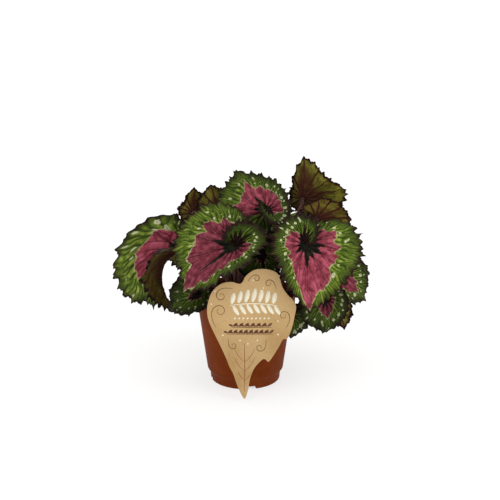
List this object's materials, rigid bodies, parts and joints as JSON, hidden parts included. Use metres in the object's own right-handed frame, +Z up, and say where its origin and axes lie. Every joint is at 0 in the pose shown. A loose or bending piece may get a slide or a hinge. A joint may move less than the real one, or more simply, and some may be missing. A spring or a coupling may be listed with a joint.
{
  "type": "potted begonia",
  "caption": "Potted begonia with spiral, puckered leaves in pink, green and near-black on hairy red stalks, in a brown plastic nursery pot with a leaf-shaped card tag on a stake.",
  "frame": {"origin": "centre of the pot's foot ring, on the ground", "axes": "+Z up along the pot's axis, the front with the card tag faces -Y, +X to the right seen from the front"},
  "size_m": [0.3033, 0.2292, 0.2681],
  "materials": {
    "pot_plastic": "satin moulded",
    "peat": "rough crumbly peat",
    "crown_skin": "rough hairy",
    "leaf_skin": "satin, puckered",
    "stalk_skin": "matt, hairy",
    "tag_card": "matt uncoated",
    "stake_plastic": "satin"
  },
  "bodies": {
    "root": {"pot": "pot_plastic", "soil": "peat", "crown": "crown_skin", "tag_card": "tag_card", "tag_stake": "stake_plastic", "leaf_front_left": "leaf_skin", "stalk_front_left": "stalk_skin", "leaf_front_right": "leaf_skin", "stalk_front_right": "stalk_skin", "leaf_far_left": "leaf_skin", "stalk_far_left": "stalk_skin", "leaf_top": "leaf_skin", "stalk_top": "stalk_skin", "leaf_top_right": "leaf_skin", "stalk_top_right": "stalk_skin", "leaf_top_left": "leaf_skin", "stalk_top_left": "stalk_skin", "leaf_low_right": "leaf_skin", "stalk_low_right": "stalk_skin", "leaf_far_right": "leaf_skin", "stalk_far_right": "stalk_skin", "leaf_low_left": "leaf_skin", "stalk_low_left": "stalk_skin", "leaf_low_centre": "leaf_skin", "stalk_low_centre": "stalk_skin", "leaf_right_fold": "leaf_skin", "stalk_right_fold": "stalk_skin", "leaf_side_right": "leaf_skin", "stalk_side_right": "stalk_skin", "leaf_rear_left": "leaf_skin", "stalk_rear_left": "stalk_skin", "leaf_centre": "leaf_skin", "stalk_centre": "stalk_skin", "leaf_back_left": "leaf_skin", "stalk_back_left": "stalk_skin", "leaf_back_centre": "leaf_skin", "stalk_back_centre": "stalk_skin", "leaf_back_right": "leaf_skin", "stalk_back_right": "stalk_skin", "leaf_low_back": "leaf_skin", "stalk_low_back": "stalk_skin"}
  },
  "joints": []
}
